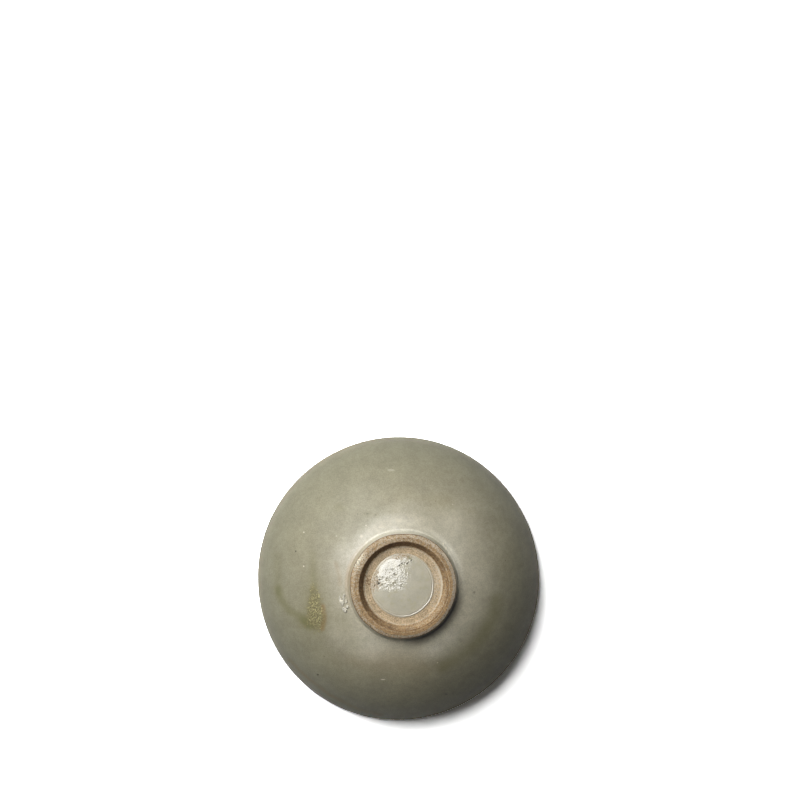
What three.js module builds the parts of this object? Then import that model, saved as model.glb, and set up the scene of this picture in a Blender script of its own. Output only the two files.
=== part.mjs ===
// A celadon bowl turned over on its rim, taken apart as a potter would name it: the thrown wall, the foot
// ring, the coats of glaze poured inside and dipped outside, the glaze pooled under the foot, and the two
// crusts that the kiln left. Millimetres. The rim lies in z = 0 and +Z is the axis from the mouth to the foot.
import * as THREE from "three";

// Driving dimensions
const MOUTH_RADIUS = 90; // outside the glaze at the rim
const HEIGHT = 66; // from the rim to the face of the foot
const LIP_THICKNESS = 3.4; // clay at the rim
const LIP_FLAT = 0.8; // width worn flat, on which the upturned bowl stands
const WALL_THICKNESS = 4.6; // clay halfway up the wall
const ROOT_THICKNESS = 6; // clay where the wall meets the foot
const FLOOR_THICKNESS = 5.2; // clay in the middle of the floor
const FOOT_HEIGHT = 7.4; // outside of the foot ring, from the wall to its face
const FOOT_RADIUS = 32; // outside of the foot ring, at its face
const FOOT_WIDTH = 4.9; // the ring across its face, bevel included
const FOOT_SWEEP = 3.8; // how far the ring's outside runs out into the wall
const FOOT_LEAN = THREE.MathUtils.degToRad(6); // of the ring's outside, from upright
const BEVEL_WIDTH = 2.2; // outer edge of the ring's face, scraped down
const BEVEL_DROP = 1.1;
const WELL_DEPTH = 4.8; // from the ring's face to the bare floor inside it
const WELL_BATTER = 3; // how far the ring's inside leans in towards that floor
const WELL_DOME = 0.9; // rise of that floor towards its middle
const BARE_WELL = 5.1; // bare clay round the pooled glaze
const POOL_THICKNESS = 0.9;
const POOL_ROLL = 1.4; // width of the pool's rounded edge
const OUTSIDE_GLAZE = 0.5;
const INSIDE_GLAZE = 0.5;
const THIN_GLAZE = 0.16; // where a coat runs off an edge
const GLAZE_FADE = 0.15; // share of a coat's run over which it thins towards that edge
const SEAT_GAP = 0.05; // between solids that the kiln has fused

// Lie of the wall: its slopes from level at the rim and at the foot, and how far each end pulls the curve,
// as shares of the wall's height and of its reach
const RIM_SLOPE = THREE.MathUtils.degToRad(86);
const ROOT_SLOPE = THREE.MathUtils.degToRad(15);
const RIM_PULL = 0.34;
const ROOT_PULL = 0.78;

// The two crusts: place as an angle round the axis from +X, length round it, width across it, and rise
const SCAR_ANGLE = THREE.MathUtils.degToRad(196.5);
const SCAR_LENGTH = 14;
const SCAR_WIDTH = 5.6;
const SCAR_RISE = 1.1;
const SCAR_CLIMB = 0.8; // how far it reaches up the foot ring's sweep
const SAND_ANGLE = THREE.MathUtils.degToRad(152);
const SAND_LENGTH = 11;
const SAND_RISE = 0.35;
const SAND_SHARE = 0.62; // of the bevel's width that the sand covers
const SAND_PLACE = 0.38; // share of that width from the ring's outer edge to the middle of the sand
const CRUST_EDGE = 0.2; // thickness round a crust's edge
const CRUST_WAVER = 0.12; // unevenness of its outline and of its rise
const CRUST_LOBES = 3;

// Fineness
const TURN_STEPS = 64;
const WALL_STEPS = 10;
const SWEEP_STEPS = 4;
const LIP_STEPS = 4;
const COATED_LIP_STEPS = 2; // of those, how many the glaze reaches round
const FLOOR_STEPS = 3;
const ROLL_STEPS = 4;
const CRUST_RINGS = 5;
const CRUST_SECTORS = 20;

const { lerp, smoothstep } = THREE.MathUtils;
const point = (radius, height) => new THREE.Vector2(radius, height);

const clayRadius = MOUTH_RADIUS - OUTSIDE_GLAZE - SEAT_GAP;
const seatHeight = HEIGHT - FOOT_HEIGHT;
const rootRadius = FOOT_RADIUS + FOOT_SWEEP;
const footInside = FOOT_RADIUS - FOOT_WIDTH;
const wellRadius = footInside - WELL_BATTER;
const wellHeight = HEIGHT - WELL_DEPTH;
const poolRadius = wellRadius - BARE_WELL;

const wallClay = new THREE.MeshStandardMaterial({ color: 0xb6a084, roughness: 0.9, metalness: 0 });
const footClay = new THREE.MeshStandardMaterial({ color: 0x9a7b5c, roughness: 0.92, metalness: 0 });
const celadon = new THREE.MeshStandardMaterial({ color: 0x9c9780, roughness: 0.3, metalness: 0 });
const palePool = new THREE.MeshStandardMaterial({ color: 0xb8b39f, roughness: 0.18, metalness: 0 });
const scarCrust = new THREE.MeshStandardMaterial({ color: 0xb5b09d, roughness: 0.5, metalness: 0 });
const sandCrust = new THREE.MeshStandardMaterial({ color: 0xc4b78c, roughness: 0.85, metalness: 0 });

// Unit normals to the left of a profile's run, level or upright where it meets the axis
function leftNormals(profile) {
  const last = profile.length - 1;
  return profile.map((p, i) => {
    const run = profile[Math.min(i + 1, last)].clone().sub(profile[Math.max(i - 1, 0)]).normalize();
    return p.x === 0 ? point(0, Math.sign(run.x)) : point(-run.y, run.x);
  });
}

// A profile moved to its left by a distance that may vary with the share of its points already passed
function moved(profile, distanceAt) {
  const normals = leftNormals(profile);
  const last = profile.length - 1;
  return profile.map((p, i) => p.clone().addScaledVector(normals[i], distanceAt(i / last)));
}

// A profile of radius and height, with its solid on the left, turned about the axis
function turned(profile) {
  return new THREE.LatheGeometry(profile, TURN_STEPS).rotateX(Math.PI / 2);
}

function closed(profile) {
  return [...profile, profile[0].clone()];
}

function piece(name, geometry, material) {
  const mesh = new THREE.Mesh(geometry, material);
  mesh.name = name;
  return mesh;
}

// The clay's outside from the rim to the root of the foot, as one cubic curve
function wallOutside() {
  const rim = point(clayRadius, LIP_THICKNESS / 2);
  const root = point(rootRadius, seatHeight);
  const rimPull = RIM_PULL * (root.y - rim.y);
  const rootPull = ROOT_PULL * (rim.x - root.x);
  return new THREE.CubicBezierCurve(
    rim,
    point(rim.x - rimPull * Math.cos(RIM_SLOPE), rim.y + rimPull * Math.sin(RIM_SLOPE)),
    point(root.x + rootPull * Math.cos(ROOT_SLOPE), root.y - rootPull * Math.sin(ROOT_SLOPE)),
    root,
  ).getPoints(WALL_STEPS);
}

// The clay's inside from the rim to the axis: the outside moved in by the wall, then the bowl's floor
function wallInside() {
  const thicknessAt = (share) =>
    share < 0.5
      ? lerp(LIP_THICKNESS, WALL_THICKNESS, smoothstep(share, 0, 0.5))
      : lerp(WALL_THICKNESS, ROOT_THICKNESS, smoothstep(share, 0.5, 1));
  const side = moved(wallOutside(), thicknessAt);
  const end = side[side.length - 1];
  const middle = point(0, wellHeight + WELL_DOME - FLOOR_THICKNESS);
  const floor = new THREE.QuadraticBezierCurve(end, point(end.x / 2, middle.y), middle);
  return [...side, ...floor.getPoints(FLOOR_STEPS).slice(1)];
}

// One side of the rounded rim, from the wall's end down to the worn flat
function lipSide(end, middleRadius) {
  const side = Math.sign(end.x - middleRadius);
  const flatEdge = middleRadius + (side * LIP_FLAT) / 2;
  return Array.from({ length: LIP_STEPS + 1 }, (_, i) => {
    const turn = (i / LIP_STEPS) * (Math.PI / 2);
    const height = i < LIP_STEPS ? end.y * (1 - Math.sin(turn)) : 0;
    return point(lerp(flatEdge, end.x, Math.cos(turn)), height);
  });
}

// The ring's outside from the wall up to its bevel: a hollow sweep round the corner where the wall's line
// would meet the ring's own leaning side
function footOutside() {
  const root = point(rootRadius, seatHeight);
  const top = point(FOOT_RADIUS, HEIGHT - BEVEL_DROP);
  const rise = Math.tan(ROOT_SLOPE);
  const lean = Math.tan(FOOT_LEAN);
  const reach = (FOOT_SWEEP - (top.y - root.y) * lean) / (1 - rise * lean);
  const corner = point(root.x - reach, root.y + reach * rise);
  return new THREE.QuadraticBezierCurve(root, corner, top).getPoints(SWEEP_STEPS);
}

// Height of the bare floor inside the ring
function wellFloorAt(radius) {
  return wellHeight + WELL_DOME * (1 - (radius / wellRadius) ** 2);
}

const outside = wallOutside();
const inside = wallInside();
const lipMiddle = (outside[0].x + inside[0].x) / 2;
const outerLip = lipSide(outside[0], lipMiddle);
const innerLip = lipSide(inside[0], lipMiddle);
const coatedLip = (lip) => lip.slice(1, 1 + COATED_LIP_STEPS).reverse();
const footSide = footOutside();
const ringFace = [...footSide, point(FOOT_RADIUS - BEVEL_WIDTH, HEIGHT), point(footInside, HEIGHT)];

// The two faces of a skin on one side of a path, against the clay and free. It is thin at the ends that are
// named, as shares of the path.
function coat(path, side, thickness, thinEnds) {
  const thicknessAt = (share) => {
    const fade = Math.min(...thinEnds.map((end) => smoothstep(Math.abs(share - end), 0, GLAZE_FADE)));
    return lerp(THIN_GLAZE, thickness, fade);
  };
  const against = moved(path, () => side * SEAT_GAP);
  const free = moved(path, (share) => side * (SEAT_GAP + thicknessAt(share)));
  return { against, free };
}

const outerCoat = coat([...coatedLip(outerLip), ...outside, ...footSide.slice(1)], -1, OUTSIDE_GLAZE, [0, 1]);
const innerCoat = coat([...coatedLip(innerLip), ...inside], 1, INSIDE_GLAZE, [0]);

function bowlWall() {
  const bossRadius = wellRadius - SEAT_GAP;
  const floor = Array.from({ length: FLOOR_STEPS + 1 }, (_, i) => {
    const radius = bossRadius * (1 - i / FLOOR_STEPS);
    return point(radius, wellFloorAt(radius));
  });
  const profile = [
    ...inside.slice().reverse(),
    ...innerLip.slice(1),
    ...outerLip.slice(1).reverse(),
    ...outside,
    point(bossRadius, seatHeight),
    ...floor,
  ];
  return piece("bowl_wall", turned(profile), wallClay);
}

function footRing() {
  const bottom = seatHeight + SEAT_GAP;
  const profile = [
    point(rootRadius, bottom),
    ...ringFace.slice(1),
    point(wellRadius, wellHeight),
    point(wellRadius, bottom),
  ];
  return piece("foot_ring", turned(closed(profile)), footClay);
}

function glazeOutside() {
  const profile = [...outerCoat.free, ...outerCoat.against.slice().reverse()];
  return piece("glaze_outside", turned(closed(profile)), celadon);
}

function glazeInside() {
  const profile = [...innerCoat.free.slice().reverse(), ...innerCoat.against];
  return piece("glaze_inside", turned(profile), celadon);
}

// The pooled glaze: its underside on the bare floor, its top rounded off at the edge
function glazePool() {
  const seatAt = (radius) => wellFloorAt(radius) + SEAT_GAP;
  const inner = poolRadius - POOL_ROLL;
  const seatRadii = [0, inner / 2, inner, poolRadius];
  const underside = seatRadii.map((radius) => point(radius, seatAt(radius)));
  const roll = Array.from({ length: ROLL_STEPS }, (_, i) => {
    const turn = ((i + 1) / ROLL_STEPS) * (Math.PI / 2);
    const radius = inner + POOL_ROLL * Math.cos(turn);
    return point(radius, seatAt(radius) + POOL_THICKNESS * Math.sin(turn));
  });
  const top = [inner / 2, 0].map((radius) => point(radius, seatAt(radius) + POOL_THICKNESS));
  return piece("glaze_foot_well", turned([...underside, ...roll, ...top]), palePool);
}

// Place and left normal at a radius on a profile, on its last stretch that crosses that radius
function placeAt(profile, radius) {
  const normals = leftNormals(profile);
  let i = profile.length - 1;
  while (i > 1 && profile[i - 1].x < radius) i--;
  const share = (radius - profile[i - 1].x) / (profile[i].x - profile[i - 1].x);
  return {
    place: profile[i - 1].clone().lerp(profile[i], share),
    normal: normals[i - 1].clone().lerp(normals[i], share).normalize(),
  };
}

// A fused crust on a turned surface: a flattened ball whose underside lies on the surface and whose top swells
// to the middle. It is centred at a radius on the right of the surface's profile, at an angle round the axis.
function crust(profile, radius, angle, length, width, rise) {
  const ball = new THREE.SphereGeometry(1, CRUST_SECTORS, 2 * CRUST_RINGS);
  const spots = ball.getAttribute("position");
  for (let i = 0; i < spots.count; i++) {
    const [x, y, z] = [spots.getX(i), spots.getY(i), spots.getZ(i)];
    const waver = 1 + CRUST_WAVER * Math.sin(CRUST_LOBES * Math.atan2(z, x));
    const { place, normal } = placeAt(profile, radius + (x * waver * width) / 2);
    const around = angle - (z * waver * length) / 2 / place.x;
    const thickness = y < 0 ? 0 : CRUST_EDGE + rise * y * y * waver;
    place.addScaledVector(normal, -(SEAT_GAP + thickness));
    spots.setXYZ(i, place.x * Math.cos(around), place.x * Math.sin(around), place.y);
  }
  ball.computeVertexNormals();
  return ball;
}

// The scar lies on the outer glaze, against the foot ring's sweep
function kilnScar() {
  const middle = rootRadius - SCAR_CLIMB + SCAR_WIDTH / 2;
  const shape = crust(outerCoat.free, middle, SCAR_ANGLE, SCAR_LENGTH, SCAR_WIDTH, SCAR_RISE);
  return piece("kiln_scar", shape, scarCrust);
}

// The kiln sand is stuck to the bevel, so that the foot still stands on its face
function kilnSand() {
  const middle = FOOT_RADIUS - SAND_PLACE * BEVEL_WIDTH;
  const shape = crust(ringFace, middle, SAND_ANGLE, SAND_LENGTH, SAND_SHARE * BEVEL_WIDTH, SAND_RISE);
  return piece("sand_crust", shape, sandCrust);
}

const part = new THREE.Group();
part.add(bowlWall(), footRing(), glazeOutside(), glazeInside(), glazePool(), kilnScar(), kilnSand());

export default part;
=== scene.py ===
import math

import bpy
import numpy as np
from mathutils import Matrix, Vector


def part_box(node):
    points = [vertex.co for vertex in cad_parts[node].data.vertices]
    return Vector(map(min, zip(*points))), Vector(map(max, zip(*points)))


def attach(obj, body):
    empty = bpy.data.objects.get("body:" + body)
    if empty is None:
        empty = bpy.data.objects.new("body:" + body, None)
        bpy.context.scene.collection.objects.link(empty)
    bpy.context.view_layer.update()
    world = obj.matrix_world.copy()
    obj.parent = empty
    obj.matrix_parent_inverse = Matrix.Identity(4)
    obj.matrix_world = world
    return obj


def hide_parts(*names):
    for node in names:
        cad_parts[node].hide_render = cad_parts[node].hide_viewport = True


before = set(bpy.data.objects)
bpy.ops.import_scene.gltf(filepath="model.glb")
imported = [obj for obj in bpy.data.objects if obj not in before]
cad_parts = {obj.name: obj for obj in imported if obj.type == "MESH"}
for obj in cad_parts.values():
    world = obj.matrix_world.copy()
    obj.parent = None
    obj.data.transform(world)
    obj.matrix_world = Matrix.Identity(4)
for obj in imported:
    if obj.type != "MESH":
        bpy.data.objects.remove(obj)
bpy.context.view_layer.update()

MM = 0.001
MOUTH_RADIUS = 90  # millimetres
ON_AXIS = 1e-9  # a radius under this is on the axis
COATED_LIP = 16  # points of the lip's curve that the coats cover, from the wall on
CLOUDY = (0.3, 0.7)  # most values of a noise texture lie between these

bl_info = {
    "name": "Celadon bowl",
    "version": (1, 0, 0),
    "blender": (4, 5, 0),
    "location": "View3D > Sidebar > Bowl",
    "description": "Dresses an upturned bowl in clay, glaze and what the kiln left on it",
    "category": "Add Mesh",
}


def number(name, description, default, **options):
    """A number that a user may change."""
    return bpy.props.FloatProperty(name=name, description=description, default=default, **options)


def length(name, description, millimetres):
    """A size, given in millimetres and kept in metres."""
    return number(name, description, millimetres * MM, unit="LENGTH", precision=5)


def angle(name, description, degrees):
    """An angle, given in degrees."""
    return number(name, description, math.radians(degrees), subtype="ANGLE")


def share(name, description, default):
    """A number from 0 to 1."""
    return number(name, description, default, min=0, max=1, subtype="FACTOR")


def brightness(name, description, default):
    """A radiance, where 1 is white."""
    return number(name, description, default, min=0)


def colour(name, description, default):
    """A linear colour."""
    return bpy.props.FloatVectorProperty(name=name, description=description, default=default, size=3, min=0,
                                         max=1, subtype="COLOR")


class BowlSizes(bpy.types.PropertyGroup):
    """Sizes of the thrown and turned form."""

    mouth_radius: length("Mouth radius", "Outside of the glaze at the rim", MOUTH_RADIUS)
    height: length("Height", "From the rim to the face of the foot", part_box("foot_ring")[1].z / MM)
    lip_thickness: length("Lip", "Clay at the rim", 3.4)
    lip_flat: length("Worn flat", "Width of the flat that the upturned bowl stands on", 0.8)
    wall_thickness: length("Wall", "Clay halfway up the wall", 4.6)
    root_thickness: length("Root", "Clay where the wall meets the foot", 6)
    floor_thickness: length("Floor", "Clay in the middle of the floor", 5.2)
    foot_height: length("Foot height", "From the wall to the ring's face", 7.4)
    foot_radius: length("Foot radius", "Outside of the ring at its face", 32)
    foot_width: length("Foot width", "The ring across its face, bevel included", 4.9)
    foot_sweep: length("Foot sweep", "How far the ring's outside runs out into the wall", 2.1)
    foot_lean: angle("Foot lean", "Lean of the ring's outside from upright", 6)
    bevel_width: length("Bevel width", "Scraped outer edge of the ring's face", 2.2)
    bevel_drop: length("Bevel drop", "Fall of that edge", 1.1)
    well_depth: length("Well depth", "From the ring's face to the bare floor inside it", 4.8)
    well_batter: length("Well batter", "How far the ring's inside leans in", 3)
    well_dome: length("Well dome", "Rise of the bare floor to its middle", 0.9)
    rim_slope: angle("Rim slope", "Slope of the wall at the rim", 86)
    root_slope: angle("Root slope", "Slope of the wall at the foot", 15)
    rim_pull: share("Rim pull", "How far the rim's slope carries up the wall", 0.34)
    root_pull: share("Root pull", "How far the foot's slope carries out along the wall", 0.78)


class GlazeSizes(bpy.types.PropertyGroup):
    """Sizes of the coats of glaze and of what the kiln left on them."""

    coat: length("Coat", "Thickness of the coats inside and outside", 0.5)
    thin: length("Thin edge", "Thickness of a coat at a bare edge", 0.16)
    roll: length("Glaze roll", "Extra thickness just below the foot's edge", 0.22)
    fade: length("Fade", "How far a coat takes to thin towards a bare edge", 7)
    gap: length("Gap", "Between solids fused in the kiln", 0.05)
    sway: length("Sway", "Slow rise and fall of the coat's surface", 0.2)
    ripple: length("Ripple", "Quick rise and fall of the coat's surface", 0.06)
    pool: length("Pool", "Thickness of the glaze pooled under the foot", 0.6)
    pool_radius: length("Pool radius", "Middle of the pool to its edge", 19.7)
    pool_roll: length("Pool edge", "Width of the pool's rounded edge", 0.35)
    pool_bead: length("Pool bead", "Height of the bead round the pool's edge", 0.24)
    pool_swell: length("Pool swell", "Rise of the pool's surface to its middle", 0.3)
    scar_angle: angle("Scar angle", "Place of the scar round the axis", 196.5)
    scar_length: length("Scar length", "Round the foot", 14)
    scar_width: length("Scar width", "Out from the foot", 5.6)
    scar_rise: length("Scar rise", "Height of its lumps", 1.1)
    scar_clear: length("Scar clear", "From the foot ring's sweep to the scar", 0.6)
    sand_angle: angle("Sand angle", "Place of the sand round the axis", 152)
    sand_length: length("Sand length", "Round the ring", 11)
    sand_grain: length("Sand grain", "Width of a grain", 1.05)


class BowlColours(bpy.types.PropertyGroup):
    """Colours of the clay and the glazes, linear."""

    celadon: colour("Celadon", "Grey-green glaze", (0.315, 0.29, 0.208))
    khaki: colour("Khaki", "Where the glaze turns warmer", (0.328, 0.297, 0.20))
    # Darkens the wall towards the rim, and is laid as painted shade on the lit upper left.
    rim: colour("Rim", "Thicker, darker glaze towards the rim", (0.256, 0.243, 0.166))
    # Also laid as painted light in patches and at the sides of the foot.
    milky: colour("Milky", "Paler glaze round the foot", (0.445, 0.412, 0.31))
    olive: colour("Olive", "Streaks of ash in the glaze", (0.15, 0.145, 0.055))
    ash: colour("Ash", "Yellow granules of ash", (0.40, 0.35, 0.17))
    moss: colour("Moss", "Dark green glaze between the granules", (0.17, 0.15, 0.06))
    rust: colour("Rust", "Iron stain", (0.30, 0.18, 0.07))
    # Also laid as painted shadow in the corner of the foot.
    iron: colour("Iron", "Dark specks", (0.045, 0.038, 0.027))
    pool: colour("Pool", "Pale pooled glaze", (0.49, 0.457, 0.35))
    # Also the colour of painted highlights and painted light round the foot.
    welt: colour("Welt", "Thick pale glaze in the corner of the foot", (0.64, 0.61, 0.50))
    foot: colour("Foot", "Bare clay of the foot ring", (0.32, 0.208, 0.10))
    scorched: colour("Scorched", "Darker clay inside the foot ring", (0.15, 0.085, 0.035))
    well: colour("Well", "Bare clay of the floor inside the ring", (0.485, 0.37, 0.23))
    chalk: colour("Chalk", "Scuffed and dusty clay", (0.61, 0.545, 0.425))
    scar: colour("Scar", "Half-melted crust", (0.60, 0.57, 0.47))
    # Also the colour of painted glints near the foot.
    sand: colour("Sand", "Fused kiln sand", (0.74, 0.68, 0.53))


class StageLook(bpy.types.PropertyGroup):
    """Camera, floor and light."""

    camera_height: length("Camera height", "Above the surface that the bowl stands on", 1435.1)
    camera_x: length("Camera across", "Towards the picture's right", -67.0)
    camera_y: length("Camera along", "Towards the picture's top", 113.2)
    aim_x: length("Aim across", "Where the camera's axis meets the surface, towards the right", 0.96)
    lens: number("Lens", "Focal length in millimetres", 101.6)
    key_azimuth: angle("Key azimuth", "Direction that the main light comes from", 131)
    key_tilt: angle("Key tilt", "Tilt of the main light from overhead", 43)
    key_distance: length("Key distance", "From the bowl to the main light", 1500)
    key_size: length("Key size", "Width of the square main light", 1300)
    key_level: brightness("Key level", "Radiance of the main light", 6.3)
    sheen_azimuth: angle("Sheen azimuth", "Direction of the part of it that gloss shows", 117)
    sheen_tilt: angle("Sheen tilt", "Tilt of that part from overhead", 50)
    sheen_size: length("Sheen size", "Width of that part", 760)
    sheen_level: brightness("Sheen level", "Radiance of that part", 2.1)
    top_height: length("Top height", "Height of the overhead light", 1500)
    top_size: length("Top size", "Width of the square overhead light", 850)
    top_right: length("Top right", "Where its right edge hangs", 70)
    top_near: length("Top near", "Where its near edge hangs", -125)
    top_level: brightness("Top level", "Radiance of the overhead light", 6.2)
    fill_level: brightness("Fill level", "Light from the rest of the room", 0.022)
    backdrop_level: brightness("Backdrop level", "The backdrop as the camera sees it", 1)
    reflected_level: brightness("Reflected level", "The backdrop as it is reflected", 0.25)
    floor_reflected: share("Floor reflected", "Grey of the floor in reflections", 0.6)
    floor_size: length("Floor size", "Width of the square floor", 2600)
    floor_lit: length("Floor lit", "Radius within which the camera sees light and shadow on the floor", 300)
    floor_grey: share("Floor grey", "Grey of the floor as the bowl meets it", 0.4)
    floor_boost: brightness("Floor boost", "Brightness of the floor as the camera sees it", 3.2)


def settings(context):
    """The bowl's sizes, its glazes' sizes, and the colours."""
    scene = context.scene
    return scene.bowl_sizes, scene.glaze_sizes, scene.bowl_colours


def bezier(corners, count):
    """Points of a Bezier curve at even steps: its corners, each weighted by a Bernstein polynomial."""
    t = np.linspace(0, 1, count)[:, None]
    n = len(corners) - 1
    return sum(math.comb(n, k) * t**k * (1 - t) ** (n - k) * np.array(c) for k, c in enumerate(corners))


def joined(*paths):
    """Paths end to end, each from its second point on."""
    return np.concatenate([paths[0], *(path[1:] for path in paths[1:])])


def distances(path):
    """Distance passed at each point of a path."""
    return np.concatenate([[0], np.cumsum(np.linalg.norm(np.diff(path, axis=0), axis=1))])


def left_normals(path):
    """Unit normals to the left of a path: its run turned by a quarter, and upright on the axis."""
    run = np.gradient(path, axis=0)
    run[path[:, 0] < ON_AXIS, 1] = 0
    run /= np.linalg.norm(run, axis=1, keepdims=True)
    return np.stack([-run[:, 1], run[:, 0]], 1)


def moved(path, distance):
    """A path moved to its left by a distance, or by one distance for each point."""
    return path + left_normals(path) * np.reshape(distance, (-1, 1))


def along(path, distance, lift=0.0):
    """Points of a path at distances along it, lifted to its left. Both may be arrays of any shape."""
    passed, normals = distances(path), left_normals(path)
    spot = np.stack([np.interp(distance, passed, path[:, k]) for k in (0, 1)], -1)
    normal = np.stack([np.interp(distance, passed, normals[:, k]) for k in (0, 1)], -1)
    return spot + normal / np.linalg.norm(normal, axis=-1, keepdims=True) * np.asarray(lift)[..., None]


def resampled(path, count):
    """A path's points again, evenly spaced."""
    return along(path, np.linspace(0, distances(path)[-1], count))


def circle(columns):
    """Angles round the axis, one for each column of a grid."""
    return np.linspace(0, 2 * math.pi, columns, endpoint=False)


def smooth(low, high, value):
    """0 below low, 1 above high, and the smooth step 3t^2 - 2t^3 between."""
    t = np.clip((value - low) / (high - low), 0, 1)
    return t * t * (3 - 2 * t)


def bell(value, middle, width):
    """1 in the middle, falling as exp(-t^2) with the distance t in widths."""
    return np.exp(-(((value - middle) / width) ** 2))


def foot_root(size):
    """Where the ring's outside meets the wall."""
    return np.array([size.foot_radius + size.foot_sweep, size.height - size.foot_height])


def sloped(slope):
    """Unit vector outwards and down at a slope."""
    return np.array([math.cos(slope), -math.sin(slope)])


def wall_outside(size, glaze):
    """The clay's outside from rim to root: one cubic curve that leaves each end at its slope."""
    rim = np.array([size.mouth_radius - glaze.coat - glaze.gap, size.lip_thickness / 2])
    root = foot_root(size)
    rise = size.rim_pull * (root[1] - rim[1]) * -sloped(size.rim_slope)
    reach = size.root_pull * (rim[0] - root[0]) * sloped(size.root_slope)
    return bezier([rim, rim + rise, root + reach, root], 200)


def wall_inside(size, outside):
    """The clay's inside from rim to axis: the outside moved in by the wall, then the floor's curve."""
    passed = np.linspace(0, 1, len(outside))
    upper = (size.wall_thickness - size.lip_thickness) * smooth(0, 0.5, passed)
    lower = (size.root_thickness - size.wall_thickness) * smooth(0.5, 1, passed)
    side = moved(outside, size.lip_thickness + upper + lower)
    middle = [0, size.height - size.well_depth + size.well_dome - size.floor_thickness]
    return joined(side, bezier([side[-1], [side[-1, 0] / 2, middle[1]], middle], 80))


def lip_side(size, end, other):
    """One side of the rim, from a wall's end to the worn flat between both: a quarter of an ellipse."""
    turn = np.linspace(0, math.pi / 2, 24)
    middle = (end[0] + other[0]) / 2
    flat_edge = middle + np.sign(end[0] - middle) * size.lip_flat / 2
    return np.stack([flat_edge + (end[0] - flat_edge) * np.cos(turn), end[1] * (1 - np.sin(turn))], 1)


def foot_outside(size):
    """The ring's outside from the wall up to its bevel: a quadratic sweep into its leaning side."""
    root, top = foot_root(size), np.array([size.foot_radius, size.height - size.bevel_drop])
    rise, lean = math.tan(size.root_slope), math.tan(size.foot_lean)
    reach = (size.foot_sweep - (top[1] - root[1]) * lean) / (1 - rise * lean)
    return bezier([root, root + reach * np.array([-1, rise]), top], 60)


def ring_face(size):
    """The ring's bevel and face, from its outer edge to its inner one."""
    outer = [size.foot_radius, size.height - size.bevel_drop]
    crest = [size.foot_radius - size.bevel_width, size.height]
    return np.array([outer, crest, [size.foot_radius - size.foot_width, size.height]])


def well_radius(size):
    """Radius of the bare floor inside the ring."""
    return size.foot_radius - size.foot_width - size.well_batter


def well_floor(size, radius):
    """Height of that floor: a low parabolic dome."""
    return size.height - size.well_depth + size.well_dome * (1 - (radius / well_radius(size)) ** 2)


def rounded(path, radius):
    """A path with its inner corners cut back by a radius and bridged by quadratic curves."""
    pieces = [path[:1]]
    for before, corner, after in zip(path, path[1:], path[2:]):
        ends = [corner + (other - corner) * min(0.5, radius / np.linalg.norm(other - corner))
                for other in (before, after)]
        pieces.append(bezier([ends[0], corner, ends[1]], 6))
    return np.concatenate([*pieces, path[-1:]])


def radius_of(points):
    """Distance from the axis, in millimetres."""
    return np.hypot(points[..., 0], points[..., 1]) / MM


def azimuth_of(points):
    """Angle round the axis from +X."""
    return np.arctan2(points[..., 1], points[..., 0])


def placed(radius, around, height):
    """Points at a radius, an angle round the axis and a height."""
    return np.stack(np.broadcast_arrays(radius * np.cos(around), radius * np.sin(around), height), -1)


def offset(points, x, y):
    """How far points lie from a place to the right and up, in millimetres."""
    return points[..., 0] / MM - x, points[..., 1] / MM - y


def facing(points, azimuth):
    """Cosine of the angle round the axis between points and an azimuth in degrees."""
    return np.cos(azimuth_of(points) - math.radians(azimuth))


def near(points, azimuth, spread):
    """1 at an azimuth, and a bell of its spread round the axis. Degrees."""
    off = np.angle(np.exp(1j * (azimuth_of(points) - math.radians(azimuth))))
    return bell(off, 0, math.radians(spread))


NOISE_VALUES = 8192
NOISE_PRIMES = (73856093, 19349663, 83492791)  # they scatter the lattice's corners over the values


def lattice_noise(points, size, seed):
    """Smooth noise from -1 to 1: random values on a cubic lattice, blended between by smooth steps."""
    table = np.random.default_rng(seed).uniform(-1, 1, NOISE_VALUES)
    scaled = points / size
    cell = np.floor(scaled).astype(np.int64)
    ease = smooth(0, 1, scaled - cell)
    total = np.zeros(points.shape[:-1])
    for corner in np.ndindex(2, 2, 2):
        x, y, z = np.moveaxis((cell + corner) * NOISE_PRIMES, -1, 0)
        total += table[(x ^ y ^ z) % NOISE_VALUES] * np.prod(np.where(corner, ease, 1 - ease), axis=-1)
    return total


def noise(points, size, seed, octaves=3):
    """Lattice noise of a size in millimetres plus octaves, each half the size and strength of the last."""
    layers = [lattice_noise(points, size * MM / 2**k, seed + k) / 2**k for k in range(octaves)]
    return sum(layers) / (2 - 2.0 ** (1 - octaves))


def line_noise(distance, size, seed, direction=(1, 0, 0)):
    """Lattice noise that changes only with a distance, read along a direction through the lattice."""
    return lattice_noise(distance[..., None] * np.array(direction), size, seed)


def ring_noise(around, turns, seed):
    """Noise from -1 to 1 round the axis, with a number of waves in a turn: lattice noise on a circle."""
    return lattice_noise(placed(turns / math.pi, around, 0) + 50, 1.0, seed)


def coat_waves(glaze, bare):
    """Rise and fall of a coat over the bare clay: noise of two sizes, and fine dimples near the foot."""
    waves = glaze.sway * noise(bare, 34, 34, 2) + glaze.ripple * noise(bare, 7, 35, 2)
    return waves + 0.05 * MM * smooth(58, 40, radius_of(bare)) * noise(bare, 3.4, 37, 2)


def coat_rows(start, stop, count):
    """Distances along a coat for its rows, from start to stop, closer at its edges and in its last part."""
    edge = MM * np.array([0, 0.03, 0.08, 0.16, 0.35])[:, None]
    passed = np.interp(np.linspace(0, 1, count), (0, 0.75, 1), (0, 0.88, 1))[:, None]
    middle = start + 2 * edge[-1] + passed * (stop - start - 4 * edge[-1])
    return np.concatenate([start + edge, middle, stop - edge[::-1]])


def rounded_edge(glaze, from_edge):
    """A coat's edge, rounded by a quarter circle as deep as its thin edge is thick."""
    return np.sqrt(1 - (1 - np.clip(from_edge / glaze.thin, 0, 1)) ** 2)


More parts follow.
